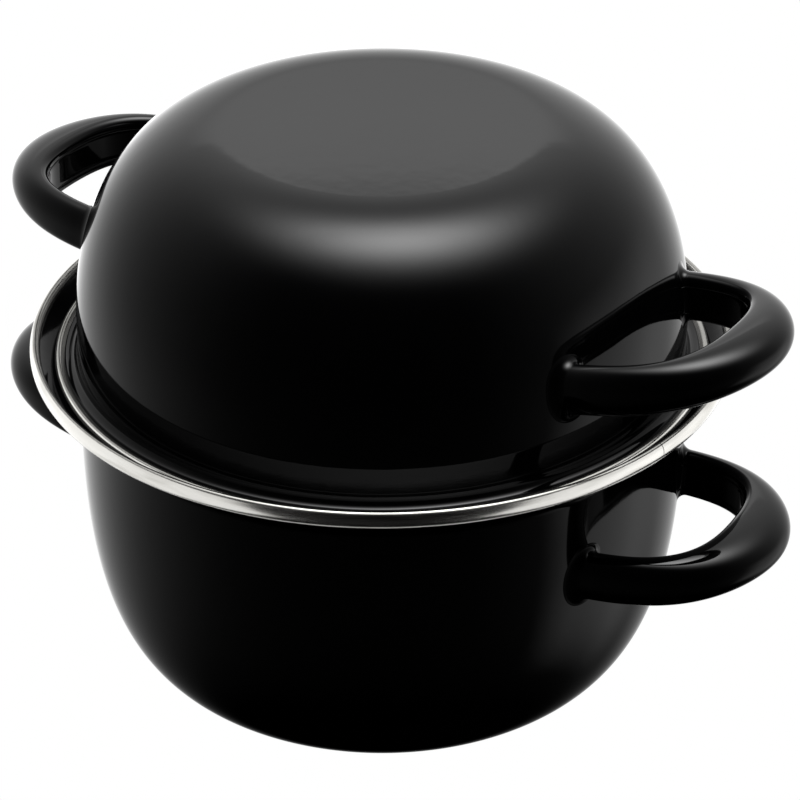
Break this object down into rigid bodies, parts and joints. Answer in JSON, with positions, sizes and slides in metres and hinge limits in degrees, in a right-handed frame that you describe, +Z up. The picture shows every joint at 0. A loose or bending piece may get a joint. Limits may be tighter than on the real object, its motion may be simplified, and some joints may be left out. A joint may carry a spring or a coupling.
{
  "type": "mussel pot",
  "caption": "Black enamelled steel mussel pot with loop handles, a steel rim band and a deep domed lid with a steel edge that lifts off and serves as a bowl.",
  "frame": {"origin": "centre of the pot's flat underside", "axes": "+Z up along the pot's axis; +X through the pot's right handle, as the picture shows it; +Y away from the picture's side of the pot"},
  "size_m": [0.274, 0.218, 0.1808],
  "materials": {
    "black_enamel": "glossy vitreous enamel on steel",
    "steel_band": "polished stainless steel"
  },
  "bodies": {
    "pot": {"pot_body": "black_enamel", "rim_band": "steel_band", "pot_handle_right_shell": "black_enamel", "pot_handle_right_strip": "black_enamel", "pot_handle_left_shell": "black_enamel", "pot_handle_left_strip": "black_enamel"},
    "lid": {"lid_body": "black_enamel", "lid_band": "steel_band", "lid_handle_right_shell": "black_enamel", "lid_handle_right_strip": "black_enamel", "lid_handle_left_shell": "black_enamel", "lid_handle_left_strip": "black_enamel"}
  },
  "joints": [
    {"name": "lid_lift", "type": "slide", "parent": "pot", "child": "lid", "axis": [0, 0, 1], "range_m": [0, 0.15]}
  ]
}
